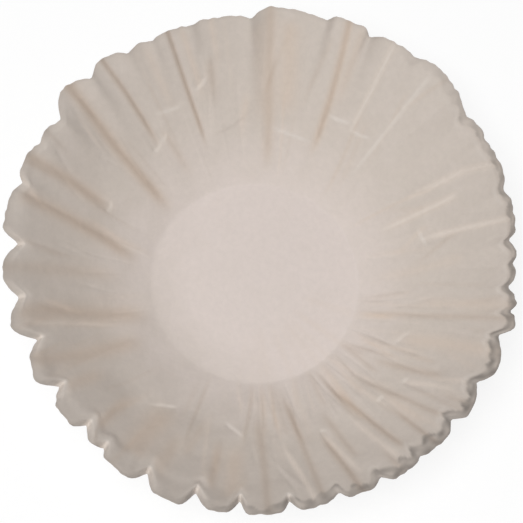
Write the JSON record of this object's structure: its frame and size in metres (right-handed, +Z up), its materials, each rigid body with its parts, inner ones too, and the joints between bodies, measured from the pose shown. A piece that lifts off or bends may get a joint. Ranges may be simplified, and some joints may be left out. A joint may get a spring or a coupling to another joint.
{
  "type": "paper coffee filter",
  "caption": "White basket coffee filter: a flat round base and a bowl-shaped wall in irregular flutes, pressed from one disc of paper.",
  "frame": {"origin": "centre of the round base's underside, on the surface that the filter stands on", "axes": "+Z up out of the bowl, +X to the right and +Y away from the camera in the picture"},
  "size_m": [0.1855, 0.1938, 0.0415],
  "materials": {
    "filter_paper": "bleached, soft and matte, with a faint crepe and fibre"
  },
  "bodies": {
    "root": {"filter_paper": "filter_paper"}
  },
  "joints": []
}
